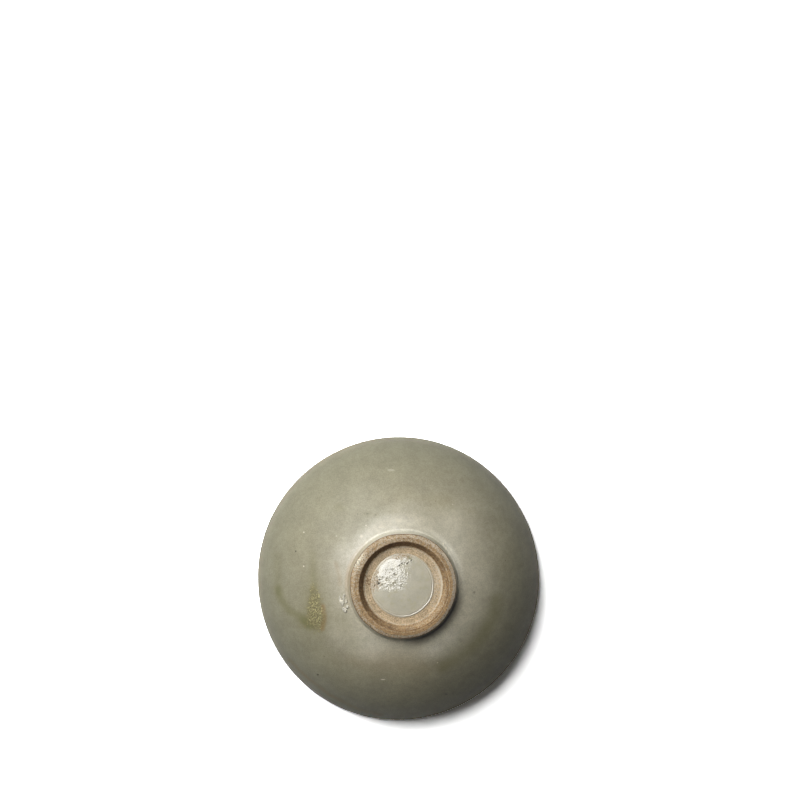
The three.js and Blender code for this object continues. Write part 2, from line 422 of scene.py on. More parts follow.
# How far the rim wandered in or out as it dried, in millimetres, at every thirty degrees from +X
RIM_WANDER = (-0.15, -0.4, 0.0, 0.05, 0.1, 0.05, -0.3, -0.35, 0.25, 0.05, 0.0, -0.05)

# Flats worn on the foot's edge, and one swelling: angle and spread in degrees, depth in millimetres
FOOT_FLATS = ((90, 13, 0.6), (230, 8, 0.35), (272, 22, 0.45), (325, 22, 0.3), (165, 11, -0.3))


def settled(points):
    """Points moved as the bowl dried and wore: by the rim's wander, a sum of cosines that fades with the
    square of the radius, and in at the flats of the foot's edge."""
    radius, around = radius_of(points), azimuth_of(points)
    waves = np.fft.rfft(RIM_WANDER) / len(RIM_WANDER)
    wander = waves[0].real + sum(2 * (waves[k] * np.exp(1j * k * around)).real for k in range(1, 6))
    edge = smooth(28.5, 32, radius) * smooth(39, 35, radius) * smooth(58, 60.5, points[..., 2] / MM)
    worn = sum(depth * near(points, middle, spread) for middle, spread, depth in FOOT_FLATS)
    stretch = 1 + (wander * (radius / MOUTH_RADIUS) ** 2 - worn * edge) / np.maximum(radius, 1)
    return points * np.stack([stretch, stretch, np.ones_like(stretch)], -1)


def turned(path, columns):
    """Grid of points: a path of radius and height, a point or a row of points a step, carried round."""
    path = path.reshape(len(path), -1, 2)
    return placed(path[..., 0], circle(columns), path[..., 1])


def blot(points, x, y, long, wide, turn, soft):
    """1 inside an ellipse seen from above, 0 outside, with a soft share at its edge."""
    side, up = offset(points, x, y)
    c, s = math.cos(math.radians(turn)), math.sin(math.radians(turn))
    reach = np.hypot((side * c + up * s) / long, (up * c - side * s) / wide)
    return smooth(1 + soft, 1 - soft, reach)


def blots(points, rows, join=np.add):
    """Blots added or otherwise joined. A row gives a strength and what a blot takes."""
    return join.reduce([row[0] * blot(points, *row[1:]) for row in rows])


def streak(points, route, width):
    """1 on a route seen from above, falling off smoothly to 0 at a width from it."""
    spot = points[..., :2] / MM
    nearest = np.full(spot.shape[:-1], np.inf)
    for start, end in zip(np.array(route[:-1], float), np.array(route[1:], float)):
        run = end - start
        t = np.clip(((spot - start) @ run) / (run @ run), 0, 1)
        nearest = np.minimum(nearest, np.linalg.norm(spot - start - t[..., None] * run, axis=-1))
    return smooth(width, 0, nearest)


def streaks(points, rows, join=np.add):
    """Streaks added or otherwise joined. A row gives a strength, a width and a route."""
    return join.reduce([strength * streak(points, route, width) for strength, width, route in rows])


def add_piece(name, grid, node, material, marks, closed=False):
    """A mesh of a grid whose columns run round. A row on the axis becomes one point, a closed grid joins its
    last row to its first, and marks are point attributes by name. The piece stands for a node."""
    rows, columns = grid.shape[:2]
    one_point = np.ptp(grid, axis=1).max(1) < ON_AXIS
    index = np.arange(rows * columns).reshape(rows, columns)
    index[one_point] = index[one_point, :1]
    kept, index = np.unique(index, return_inverse=True)
    index = index.reshape(rows, columns)
    here, there = (index, np.roll(index, -1, 0)) if closed else (index[:-1], index[1:])
    quads = np.stack([here, np.roll(here, -1, 1), np.roll(there, -1, 1), there], -1).reshape(-1, 4)
    first_pole, last_pole = quads[:, 0] == quads[:, 1], quads[:, 2] == quads[:, 3]
    faces = quads[~(first_pole | last_pole)].tolist()
    faces += quads[first_pole][:, [0, 2, 3]].tolist() + quads[last_pole][:, :3].tolist()
    points = {mark: values.reshape(-1)[kept] for mark, values in marks.items()}
    return add_mesh(name, grid.reshape(-1, 3)[kept], faces, node, material, points)


def add_mesh(name, points, faces, node, material, marks):
    """A smooth mesh with its material and point attributes, which stands for a node of the bowl."""
    mesh = bpy.data.meshes.new(name)
    mesh.from_pydata(points, [], faces)
    mesh.shade_smooth()
    for mark, values in marks.items():
        attribute = mesh.attributes.new(mark, "FLOAT", "POINT")
        attribute.data.foreach_set("value", np.ascontiguousarray(values, np.float32))
    mesh.materials.append(material)
    piece = bpy.data.objects.new(name, mesh)
    bpy.context.scene.collection.objects.link(piece)
    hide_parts(node)
    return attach(piece, "root")


def surface_height(path, radius):
    """Height of a turned surface at a radius, from the part of its path that rises to the foot."""
    order = np.argsort(path[:, 0])
    return np.interp(radius, path[order, 0], path[order, 1])


class Nodes:
    """The node tree of a material or a world, emptied and built up again."""

    def __init__(self, owner):
        owner.use_nodes = True
        self.tree = owner.node_tree
        self.tree.nodes.clear()

    def node(self, kind, inputs=None, **options):
        """Adds a node with its options and inputs, and gives its outputs."""
        made = self.tree.nodes.new("ShaderNode" + kind)
        for key, value in options.items():
            setattr(made, key, value)
        self.fill(made, inputs or {})
        return made.outputs

    def fill(self, made, inputs):
        """Fills inputs by name or number: a socket is linked, a word reads that point attribute, and a colour
        gets its alpha."""
        for key, value in inputs.items():
            socket = made.inputs[key]
            if isinstance(value, str):
                value = self.node("Attribute", attribute_name=value)["Fac"]
            if isinstance(value, bpy.types.NodeSocket):
                self.tree.links.new(value, socket)
            else:
                socket.default_value = (*value, 1.0) if socket.type == "RGBA" else value

    def maths(self, operation, first, second):
        """Arithmetic on two values."""
        return self.node("Math", {0: first, 1: second}, operation=operation)[0]

    def product(self, *values):
        """Values multiplied together."""
        total = values[0]
        for value in values[1:]:
            total = self.maths("MULTIPLY", total, value)
        return total

    def stepped(self, value, low, high, to_low=0.0, to_high=1.0):
        """A value's smooth step from low to high, between two results."""
        inputs = {0: value, 1: low, 2: high, 3: to_low, 4: to_high}
        return self.node("MapRange", inputs, interpolation_type="SMOOTHSTEP")[0]

    def length_of(self, vector):
        """A vector's length."""
        return self.node("VectorMath", {0: vector}, operation="LENGTH")["Value"]

    def either(self, factor, first, second):
        """A shader mixed from the first to the second by a factor."""
        return self.node("MixShader", {0: factor, 1: first, 2: second})[0]

    def rays(self):
        """1 for rays from the camera, and 1 for those in reflections or through glass."""
        path = self.node("LightPath")
        gloss = self.maths("MAXIMUM", path["Is Glossy Ray"], path["Is Transmission Ray"])
        return path["Is Camera Ray"], gloss


class Finish(Nodes):
    """A material of one Principled shader in object coordinates, with its colour laid on in layers. Sizes are
    in millimetres."""

    def __init__(self, name, base):
        self.material = bpy.data.materials.new(name)
        super().__init__(self.material)
        self.shader = self.tree.nodes.new("ShaderNodeBsdfPrincipled")
        self.node("OutputMaterial", {"Surface": self.shader.outputs[0]})
        self.place = self.node("TexCoord")["Object"]
        self.base, self.bump = base, None

    def mixed(self, factor, first, second):
        """Colour mixed from the first to the second by a factor."""
        return self.node("Mix", {0: factor, 6: first, 7: second}, data_type="RGBA")[2]

    def lay(self, factor, colour):
        """Mixes a colour over the base by a factor."""
        self.base = self.mixed(factor, self.base, colour)

    def scaled(self, colour, factor):
        """A colour made lighter or darker by a factor."""
        return self.node("VectorMath", {0: colour, "Scale": factor}, operation="SCALE")[0]

    def shade(self, *factors):
        """Makes the base lighter or darker by factors."""
        self.base = self.scaled(self.base, self.product(*factors))

    def clouds(self, size, detail, rough=0.5):
        """Noise from 0 to 1 whose features are about a size across."""
        inputs = {"Vector": self.place, "Scale": 1 / (size * MM), "Detail": detail, "Roughness": rough}
        return self.node("TexNoise", inputs)[0]

    def varied(self, size, detail, low, high, rough=0.5):
        """Clouds stepped between two results."""
        return self.stepped(self.clouds(size, detail, rough), *CLOUDY, low, high)

    def ragged(self, amount, size, spread, low, high):
        """An amount whose soft edge is broken up by clouds, then stepped from low to high."""
        return self.stepped(self.maths("ADD", amount, self.varied(size, 3, -spread, spread)), low, high)

    def cells(self, size, place=None, **options):
        """Voronoi cells, as a distance from each one's middle and a colour of its own."""
        place = self.place if place is None else place
        return self.node("TexVoronoi", {"Vector": place, "Scale": 1 / (size * MM)}, **options)

    def chance(self, cells):
        """A number from 0 to 1 for each cell."""
        return self.node("SeparateColor", {0: cells["Color"]})[0]

    def specks(self, spacing, radius, kept, shift=0.0):
        """1 in round specks of a radius: of cells a spacing apart, a share is kept and has one each."""
        cells = self.cells(spacing, self.node("VectorMath", {0: self.place, 1: (shift, shift, shift)})[0])
        chance = self.chance(cells)
        reach = self.product(chance, radius / spacing / kept)
        spot = self.node("MapRange", {0: cells["Distance"], 1: reach, 2: 0.0, 3: 0.0, 4: 1.0})[0]
        dot = self.node("Clamp", {0: self.product(spot, 3.0)})[0]
        return self.product(dot, self.maths("LESS_THAN", chance, kept))

    def spots(self, table):
        """1 in oval spots. A row gives a place, half lengths along X and Y, and a strength."""
        total = 0.0
        for x, y, half_x, half_y, strength in table:
            narrow = (1 / (half_x * MM), 1 / (half_y * MM), 0)
            shift = (-x / half_x, -y / half_y, 0)
            off = self.node("VectorMath", {0: self.place, 1: narrow, 2: shift}, operation="MULTIPLY_ADD")[0]
            total = self.maths("MAXIMUM", total, self.stepped(self.length_of(off), 1.3, 0.5, 0.0, strength))
        return total

    def raise_bump(self, height, depth):
        """Bump from a height of 0 to 1 that stands for a depth, laid over the bump before it."""
        inputs = {"Height": height, "Distance": depth * MM, "Strength": 1.0}
        if self.bump is not None:
            inputs["Normal"] = self.bump
        self.bump = self.node("Bump", inputs)[0]

    def finished(self, inputs):
        """The material, with its base colour, its bump and the shader's other inputs filled."""
        self.fill(self.shader, {"Base Color": self.base, "Normal": self.bump, **inputs})
        return self.material


# Specks in the outer glaze: place, half lengths along X and Y in millimetres, and strength
DARK_SPECKS = (
    (-51.7, -57.1, 0.75, 0.65, 0.75), (-65.4, 20.0, 0.5, 0.6, 0.75), (-47.9, -44.5, 0.35, 0.35, 0.6),
    (28.0, -69.5, 1.0, 0.7, 0.35), (43.8, -4.6, 0.8, 0.8, 0.35), (20.5, 51.0, 0.4, 0.3, 0.4),
    (-27.6, 43.4, 0.5, 0.5, 0.4), (-12.0, 46.5, 0.4, 0.3, 0.4), (64.0, 14.0, 0.4, 0.4, 0.4),
    (-21.6, 43.7, 0.8, 0.5, 0.3), (-16.7, 42.9, 0.9, 0.5, 0.3),
)
# The last six pale spots, near the foot, are painted glints
PALE_SPECKS_AND_GLINTS = (
    (-11.8, -58.6, 1.5, 0.35, 0.8), (-6.6, 69.9, 2.4, 0.7, 0.25), (-60.4, 31.7, 0.45, 0.4, 0.8),
    (-60.5, 11.1, 0.4, 0.5, 0.9), (21.5, -48.0, 0.5, 0.35, 0.6), (31.0, 49.0, 0.5, 0.3, 0.5),
    (-22.5, 36.5, 0.4, 0.4, 0.6), (-40.5, 30.0, 0.4, 0.3, 0.5), (24.6, 25.4, 0.6, 0.8, 0.8),
    (26.3, 22.6, 0.5, 0.9, 1.0), (27.8, 19.6, 0.45, 0.9, 0.9), (-2.2, 39.4, 2.3, 1.3, 0.4),
    (-13.5, 35.9, 1.8, 1.0, 0.25), (-25.2, 30.2, 1.2, 0.9, 0.35),
)


def celadon_material(colours):
    """Satin grey-green glaze: warm and cool clouds, darker towards the rim with painted shade and light, a
    paler ring round the foot that is partly painted light, a pale roll at the foot with painted highlights,
    painted shadow in the foot's corner, streaks and granules of ash, iron stains, specks and painted glints,
    clay that shows at its edges, and orange peel."""
    glaze = Finish("celadon_glaze", colours.celadon)
    glaze.lay(glaze.stepped(glaze.clouds(34, 2), 0.35, 0.65), colours.khaki)
    # The three marks laid here are partly painted light: painted shade and light in the darker glaze towards
    # the rim, painted light in the paler ring, and painted highlights in the roll at the foot.
    for mark in ("rim", "milky", "welt"):
        glaze.lay(mark, getattr(colours, mark))
    dapple, mottle = glaze.varied(11, 4, 0.94, 1.06), glaze.varied(2.8, 3, 0.955, 1.045)
    glaze.shade(dapple, mottle, glaze.varied(0.7, 2, 0.88, 1.12, 0.7))
    # Painted shadow: dark iron colour laid in the corner of the foot below at the right, where its shadow
    # falls.
    glaze.lay("lee", colours.iron)
    glaze.lay("olive", colours.olive)
    glaze.lay("rust", colours.rust)
    cells = glaze.cells(0.95)
    granule = glaze.stepped(glaze.maths("ADD", cells["Distance"], glaze.clouds(0.7, 2)), 1.12, 0.82)
    ash = glaze.scaled(colours.ash, glaze.stepped(glaze.chance(cells), 0.0, 1.0, 0.65, 1.3))
    melt = glaze.ragged("ash", 1.5, 0.15, 0.05, 0.8)
    crazed = glaze.product(granule, glaze.ragged("ash", 1.5, 0.3, 0.25, 1.0))
    glaze.lay(glaze.product(melt, 0.75), colours.moss)
    glaze.lay(glaze.product(crazed, 0.95), ash)
    glaze.lay(glaze.product("rust", 0.5, melt), colours.rust)
    small_dark = glaze.product(glaze.specks(6, 0.28, 0.16), 0.6)
    glaze.lay(glaze.maths("MAXIMUM", small_dark, glaze.spots(DARK_SPECKS)), colours.iron)
    small_pale = glaze.product(glaze.specks(9, 0.3, 0.1, 0.31), 0.5)
    # Pale specks and spots; some spots near the foot are painted glints.
    glaze.lay(glaze.maths("MAXIMUM", small_pale, glaze.spots(PALE_SPECKS_AND_GLINTS)), colours.sand)
    glaze.lay("thin", colours.scorched)
    glaze.raise_bump(glaze.clouds(1.6, 2), 0.04)
    glaze.raise_bump(crazed, 0.2)
    rough = glaze.maths("ADD", glaze.stepped("milky", 0.1, 0.9, 0.46, 0.29), glaze.product(melt, 0.15))
    return glaze.finished({"Roughness": rough, "Coat Weight": "gloss", "Coat Roughness": 0.16})


def pool_material(colours):
    """Pale glossy glaze: a whitish cloud, bubbles, burst pits that show dark clay, and a worn, sandy side."""
    pool = Finish("pooled_glaze", colours.pool)
    foam = pool.product(pool.stepped(pool.cells(0.7, feature="SMOOTH_F1")["Distance"], 0.1, 0.6), "bubbly")
    froth = pool.stepped(foam, 0.0, 1.0, 1.0, 0.82)
    pool.shade(pool.varied(5, 4, 0.94, 1.05), pool.varied(0.8, 2, 0.95, 1.05, 0.7), froth)
    pool.lay(pool.stepped(pool.clouds(3.2, 3), 0.45, 0.7, 0.0, 0.22), colours.ash)
    pool.lay("edge", colours.chalk)
    sandy = pool.stepped(pool.clouds(0.9, 2, 0.7), 0.35, 0.65)
    worn = pool.ragged("worn", 1.6, 0.35, 0.3, 0.75)
    pool.lay(pool.product(worn, 0.8), pool.mixed(sandy, colours.foot, colours.chalk))
    pool.lay(pool.product("olive", 0.6), colours.olive)
    pinholes = pool.product(pool.specks(1.05, 0.22, 0.65), "bubbly")
    pool.lay(pool.product(pinholes, 0.6), colours.scorched)
    pool.lay("pit", colours.iron)
    holes = pool.maths("MAXIMUM", pinholes, pool.product(worn, sandy))
    pool.raise_bump(pool.clouds(2.2, 2), 0.02)
    pool.raise_bump(foam, 0.07)
    pool.raise_bump(pool.maths("SUBTRACT", 1.0, holes), 0.14)
    rough, coat = pool.stepped(worn, 0.0, 1.0, 0.2, 0.6), pool.stepped(worn, 0.0, 1.0, 1.0, 0.1)
    return pool.finished({"Roughness": rough, "Coat Weight": coat, "Coat Roughness": 0.08, "Coat IOR": 1.62})


def clay_material(name, colours, base, dark_share):
    """Bare unglazed clay: sandy grain, turning lines at even radii, dark iron specks and scorched bands, and
    chalky scuffs on its edges."""
    clay = Finish(name, base)
    flat = clay.node("VectorMath", {0: clay.place, 1: (1, 1, 0)}, operation="MULTIPLY")[0]
    turning = {"W": clay.length_of(flat), "Scale": 1 / (0.6 * MM), "Detail": 2.0}
    rings = clay.node("TexNoise", turning, noise_dimensions="1D")[0]
    wide, grain = clay.varied(7, 3, 0.88, 1.12), clay.varied(0.9, 3, 0.63, 1.37, 0.75)
    clay.shade(wide, grain, clay.stepped(rings, *CLOUDY, 0.88, 1.1))
    clay.lay(clay.product(clay.ragged("scorch", 1.5, 0.3, 0.2, 0.9), 0.8), colours.scorched)
    clay.lay(clay.product(clay.ragged("chalk", 0.8, 0.3, 0.2, 1.1), 0.8), colours.chalk)
    clay.lay(clay.product(clay.stepped(clay.cells(0.75)["Distance"], 0.6, 0.35), "sandy"), colours.sand)
    clay.lay(clay.product(clay.specks(1.6, 0.45, dark_share), 0.8), colours.iron)
    clay.raise_bump(clay.clouds(0.8, 3, 0.7), 0.2)
    clay.raise_bump(rings, 0.12)
    return clay.finished({"Roughness": 0.85})


def crust_material(name, base, rough):
    """A fused crust: pale lumps with a little colour of their own, glassy where they melted."""
    crust = Finish(name, base)
    crust.shade(crust.varied(0.6, 3, 0.78, 1.15), crust.stepped("tint", 0.0, 1.0, 0.6, 1.2))
    crust.raise_bump(crust.clouds(0.7, 3), 0.1)
    return crust.finished({"Roughness": rough})


class BOWL_OT_clay_wall(bpy.types.Operator):
    """The thrown clay: the wall between its coats, the worn lip, and the bare floor inside the foot"""

    bl_idname = "bowl.clay_wall"
    bl_label = "Clay wall"

    def execute(self, context):
        size, glaze, colours = settings(context)
        outside = wall_outside(size, glaze)
        inside = wall_inside(size, outside)
        inner_lip = lip_side(size, inside[0], outside[0])[1:]
        outer_lip = lip_side(size, outside[0], inside[0])[:0:-1]
        rim = joined(resampled(inside[::-1], 40), inner_lip, outer_lip, resampled(outside, 40))
        edge = well_radius(size) + 0.35 * MM  # the floor runs on under the ring
        radius = np.linspace(edge, 0, 90)
        fillet = 0.5 * MM * smooth(edge - 1.3 * MM, edge, radius) ** 1.5
        floor = np.stack([radius, well_floor(size, radius) + fillet], 1)
        path = np.concatenate([rim, [[edge, size.height - size.foot_height]], floor])
        columns, tool_step = 400, 0.7
        grid = turned(path, columns)
        bare = (np.arange(len(path)) > len(rim))[:, None]
        spiral = radius_of(grid) + np.linspace(0, tool_step, columns)
        grain = 0.05 * noise(grid, 1.8, 11) + 0.03 * noise(grid, 0.6, 12, 2)
        lines = 0.035 * line_noise(spiral, tool_step, 13, (1, 1, 1))
        grid[..., 2] += bare * smooth(0, 2, radius_of(grid)) * MM * (grain + lines)
        grid = settled(grid)
        out = radius_of(grid)
        stain = blot(grid, -21.6, 5.0, 2.6, 9.5, 12, 0.8) * smooth(0, 0.4, noise(grid, 0.8, 15, 1))
        dust = 0.35 * smooth(0.2, 0.9, noise(grid, 6, 14)) + 0.6 * blot(grid, 21, 3, 5, 14, -10, 0.8)
        marks = {
            "scorch": bare * (0.45 * bell(out, 24.6, 0.9) + 0.25 * bell(out, 19.4, 0.5) + 0.9 * stain),
            "chalk": bare * (0.7 * bell(out, 23.5, 0.35) + dust),
        }
        clay = clay_material("wall_clay", colours, colours.well, 0.1)
        add_piece("clay_wall", grid, "bowl_wall", clay, marks)
        return {"FINISHED"}


class BOWL_OT_foot_ring(bpy.types.Operator):
    """The ring of bare clay, turned with a tool that left its lines on the face and inside"""

    bl_idname = "bowl.foot_ring"
    bl_label = "Foot ring"

    def execute(self, context):
        size, glaze, colours = settings(context)
        well, bottom = well_radius(size), foot_root(size)[1] + glaze.gap
        side = resampled(foot_outside(size), 22)
        side[0, 1] = bottom
        corners = np.array([side[-2], *ring_face(size), [well, size.height - size.well_depth]])
        crown = resampled(rounded(corners, 0.45 * MM), 110)
        path = np.concatenate([side[:-1], crown[1:], [[well, bottom]]])
        columns, tool_lines, tool_step = 560, 3, 0.55
        grid = turned(path, columns)
        passed = np.broadcast_to(distances(path)[:, None] / MM, grid.shape[:2])
        spiral = passed + tool_lines * tool_step * np.linspace(0, 1, columns, endpoint=False)
        lines = 0.045 * line_noise(spiral, 0.45, 21) + 0.05 * line_noise(spiral, 1.7, 22)
        pits = 0.16 * np.minimum(0, noise(grid, 1.1, 23) + 0.25)
        lift = MM * (lines + 0.05 * noise(grid, 2.6, 24) + pits)
        bare = smooth(0, 3, passed) * (np.arange(len(path)) < len(path) - 1)[:, None]
        grid = grid - turned(left_normals(path), columns) * (lift * bare)[..., None]
        grid[..., 2] = np.minimum(grid[..., 2], size.height)
        grid = settled(grid)
        add_piece("foot_ring_clay", grid, "foot_ring",
                  clay_material("foot_clay", colours, colours.foot, 0.55), self.marks(grid), closed=True)
        return {"FINISHED"}

    def marks(self, grid):
        """Scorched inside and along two turned lines; the inside is scorched more at the upper left, where it
        lies in shade, which is painted shade. Chalky on its face and edges, paler low on the inside at the
        lower right, and sandy on the bevel at the left. Each is a sum of bands at even radii, which change
        towards the lower right."""
        out, up = radius_of(grid), grid[..., 2] / MM
        below_right = 0.5 + 0.5 * facing(grid, -45)
        high = smooth(61, 62.5, up)
        inner_wall = smooth(27.6, 26.8, out) * high
        turned_lines = 0.42 * bell(out, 28.5, 0.22) + 0.3 * bell(out, 27.3, 0.3)
        inner_edge = 0.4 * bell(out, 27.0, 0.8) + 0.15 * bell(out, 28.8, 0.8)
        worn_edge = 0.8 * smooth(29.3, 30.3, out) * smooth(64.2, 65, up) + 0.6 * bell(out, 27.95, 0.2)
        dusty_face = (0.46 - 0.42 * below_right + 0.1 * facing(grid, 90)) * smooth(26.6, 27.6, out)
        # Paler on the lower part of the inside at the lower right
        paler_low_inside = 0.45 * below_right**2 * inner_wall * smooth(27.4, 26.4, out)
        scuffs = 0.22 * smooth(0.1, 0.8, noise(grid, 5, 25))
        return {
            # Painted shade: the inside is scorched more at the upper left, the side in shade.
            "scorch": (0.85 - 0.6 * below_right) * inner_wall + (0.25 + below_right) * turned_lines
            + below_right**2 * inner_edge * high,
            "chalk": below_right * worn_edge + dusty_face + scuffs + paler_low_inside,
            "sandy": 0.85 * blot(grid, -26.8, 14.3, 6.5, 1.9, 62, 0.6) * smooth(27.2, 27.8, out),
        }


# Where the glaze differs, in millimetres and degrees. A blot's row holds its strength, its place, its half
# lengths, its turn and its softness. A streak's row holds its strength, its width and its route.
ASH_DROP = (
    (0.65, -54.4, -4.0, 2.7, 5.0, 0, 0.7), (0.9, -53.7, -11.0, 4.1, 7.5, 3, 0.65),
    (1.0, -53.0, -19.5, 5.4, 8.5, 5, 0.65), (0.4, -58.5, -24.5, 4.5, 3.0, 20, 0.9),
)
# The route of the brown line just inside the rim below
RIM_STAIN = ((-69.5, -49.4), (-58.7, -59.7), (-44.0, -70.9), (-25.4, -80.4), (-11.7, -83.7))
OLIVE_STREAKS = (
    (0.55, 4.4, ((-76.6, -4), (-75, -10), (-69.5, -17), (-62, -20.5), (-57, -26))),
    (0.22, 4.5, ((-77, 16), (-76.8, 3), (-76.4, -6))),
    (0.3, 4.5, ((-54.2, -2), (-55, 8), (-54.9, 19))),
    (0.58, 7.5, ((58.5, -10), (56.5, -19.5), (50, -31), (42.5, -39.5), (35.5, -45), (25, -50.5))),
    (0.45, 2.6, RIM_STAIN),
)
OLIVE_BLOTS = (
    (0.4, -53.4, -13, 8.5, 20, 0, 0.7), (0.12, -4, -47, 21, 5, -4, 0.8), (0.2, -27, -36, 6, 5, -40, 0.8),
    (0.28, -38.3, 46.8, 3, 2.4, 0, 0.9), (0.28, -21.3, 43.3, 2, 1.4, 0, 0.9), (0.28, -60, -24, 6, 3, 0, 0.9),
    (0.28, -16.4, 42.8, 1.8, 1.2, 0, 0.9), (0.36, -31, -79, 9, 2.0, -23, 0.8),
    (0.35, -39, -22, 8, 6, -30, 0.9), (0.35, 19.2, 28.2, 5, 1.4, -35, 0.8),
)
RUST_STREAKS = (
    (0.7, 2.4, ((-48.9, -13), (-47.8, -20), (-49.2, -27))),
    (0.22, 2.4, ((-40.8, 13.5), (-39, 7), (-38.4, 1))),
    (0.3, 1.9, RIM_STAIN),
)
# Patches of painted glow beside the paler ring round the foot, in rows as above
PAINTED_GLOW_BLOTS = ((0.35, -24, -41, 8, 5, -30, 0.9), (0.3, 30, 42, 9, 6, 30, 0.9), (0.3, 20, -42, 8, 5, 20, 0.9))
# Patches of painted highlight round the foot, in rows as above
PAINTED_HIGHLIGHT_BLOTS = (
    (0.5, -2, 39.5, 11, 3.2, 0, 0.8), (0.35, -22, 32.5, 7, 3, 40, 0.9), (0.25, -36, 22, 4, 7, -25, 0.9),
    (0.2, 33, 38, 12, 8, 35, 0.9), (0.2, 34, 25, 6, 8, 0, 0.9), (0.48, -21.5, -37, 9, 6, -35, 0.9),
    (0.5, 24, -34, 13, 5, 38, 0.9),
)
# Blots of painted shade on the lit upper left, and a negative one of painted light at the upper right, in
# rows as above
PAINTED_SHADE_AND_LIGHT_BLOTS = (
    (0.45, -33.5, 38.5, 27, 13.5, 41, 0.9), (0.5, -17, 41.5, 11, 4.5, 22, 0.9),
    (-0.35, 46, 43, 30, 13, -47, 0.9),
)


class BOWL_OT_outer_glaze(bpy.types.Operator):
    """The coat outside, from just above the lip up over the foot's side, with its ash, stains and ripples"""

    bl_idname = "bowl.outer_glaze"
    bl_label = "Outer glaze"

    def execute(self, context):
        size, glaze, colours = settings(context)
        outside = wall_outside(size, glaze)
        inside = wall_inside(size, outside)
        lip, over_edge = lip_side(size, outside[0], inside[0]), ring_face(size)[:2]
        path = joined(lip[COATED_LIP::-1], outside, foot_outside(size), over_edge)
        columns = 620
        around = circle(columns)
        start = MM * (0.5 + 0.35 * ring_noise(around, 9, 31))
        stop = distances(path)[-1] - np.linalg.norm(over_edge[1] - over_edge[0])
        stop = stop + MM * (-0.25 + 0.45 * ring_noise(around, 7, 32) + 0.2 * ring_noise(around, 31, 33))
        passed = coat_rows(start, stop, 136)
        bare = turned(along(path, passed), columns)
        from_edge = np.minimum(passed - start, stop - passed)
        body = smooth(0, glaze.fade, from_edge)
        rings = 0.02 * MM * line_noise(passed / MM, 4.5, 36)
        thickness = glaze.thin + (glaze.coat - glaze.thin + coat_waves(glaze, bare) + rings) * body
        roll = glaze.roll * bell(stop - passed, 1.0 * MM, 0.7 * MM)
        grains = 0.12 * MM * smooth(0.2, 0.7, self.ash(bare)) * (1 + noise(bare, 1.7, 38, 1))
        thickness = (thickness + roll + grains) * rounded_edge(glaze, from_edge)
        free = along(path, passed, -(glaze.gap + thickness))
        against = along(path, passed[::-10], -glaze.gap)
        grid = turned(np.concatenate([free, against]), columns)
        patterns = (self.ash, self.olive, self.lee, self.rust, self.milky, self.rim, self.gloss, self.welt)
        marks = {pattern.__name__: pattern(grid) for pattern in patterns}
        at_lip, at_foot = smooth(0.9, 0.1, (passed - start) / MM), smooth(0.8, 0.1, (stop - passed) / MM)
        marks["thin"] = np.concatenate([0.45 * at_lip + 0.95 * at_foot, np.zeros(against.shape[:2])])
        coat = celadon_material(colours)
        add_piece("outer_glaze", settled(grid), "glaze_outside", coat, marks, closed=True)
        return {"FINISHED"}

    def ash(self, points):
        """A long drop of granular ash on the left, narrow above and wider below: the largest of its blots."""
        return blots(points, ASH_DROP, np.maximum)

    def olive(self, points):
        """Streaks and blots where ash ran into the glaze, broken up by noise."""
        broken = 0.75 + 0.4 * noise(points, 9, 42)
        return np.clip((streaks(points, OLIVE_STREAKS) + blots(points, OLIVE_BLOTS)) * broken, 0, 0.8)

    def lee(self, points):
        """Painted shadow: dark colour in the corner of the foot below at the right, where the foot's shadow
        falls, in two smooth falls with the radius.
        """
        radius = radius_of(points)
        falls = 0.6 * smooth(40.2, 34.2, radius) + 0.25 * smooth(35, 34, radius)
        return smooth(0.68, 0.92, facing(points, -47)) * falls

    def rust(self, points):
        """Iron stains beside the ash, left of the foot, on the foot's side and along the rim below."""
        broken = 0.75 + 0.45 * noise(points, 6, 43)
        side = 0.4 * smooth(36.5, 34.5, radius_of(points)) * near(points, 165, 32)
        below = 0.16 * blot(points, -4, -47, 24, 6.5, -4, 0.8)
        return np.clip(streaks(points, RUST_STREAKS) * broken + below + side, 0, 1)

    def milky(self, points):
        """The paler ring round the foot, partly painted light: two cosines make it narrower on the lit upper
        left and wider at the sides, and its patches beyond are painted glows.
        """
        # Painted light: the ring is narrower on the lit upper left and wider at the sides.
        uneven = 4 * facing(points, 155) + 4 * (2 * facing(points, 128) ** 2 - 1)
        ring = smooth(58, 36, radius_of(points) + 5 * noise(points, 14, 44) + uneven)
        return np.clip(ring + blots(points, PAINTED_GLOW_BLOTS), 0, 1)

    def gloss(self, points):
        """The glassier glaze near the foot, patchy, and most of all above it and to its left."""
        patchy = 0.5 + 0.6 * noise(points, 9, 46)
        above_left = 0.55 + 0.45 * facing(points, 120)
        return np.clip(0.9 * smooth(51, 34, radius_of(points)) * patchy * above_left, 0, 1)

    def welt(self, points):
        """The thick pale roll of glaze in the corner of the foot, a bell over the radius that is stronger
        above, where it is a painted highlight, with a broader band of painted light at the upper right,
        painted light on the foot's side above, and patches of painted highlight beyond."""
        radius = radius_of(points) + 0.2 * noise(points, 5, 47)
        # Painted highlight: the roll is paler above, where light falls; the broad band and the foot's side
        # are painted light.
        uneven = 0.4 + 0.5 * facing(points, 85) + 0.45 * ring_noise(azimuth_of(points), 15, 48)
        broad = 0.8 * bell(radius, 36.6, 1.7) * near(points, 38, 30)
        side = 0.6 * smooth(34.4, 33.6, radius) * near(points, 108, 38)
        glow = blots(points, PAINTED_HIGHLIGHT_BLOTS) * (0.75 + 0.6 * noise(points, 3, 49))
        return np.clip(bell(radius, 34.35, 0.5) * uneven + broad + side + glow, 0, 1)

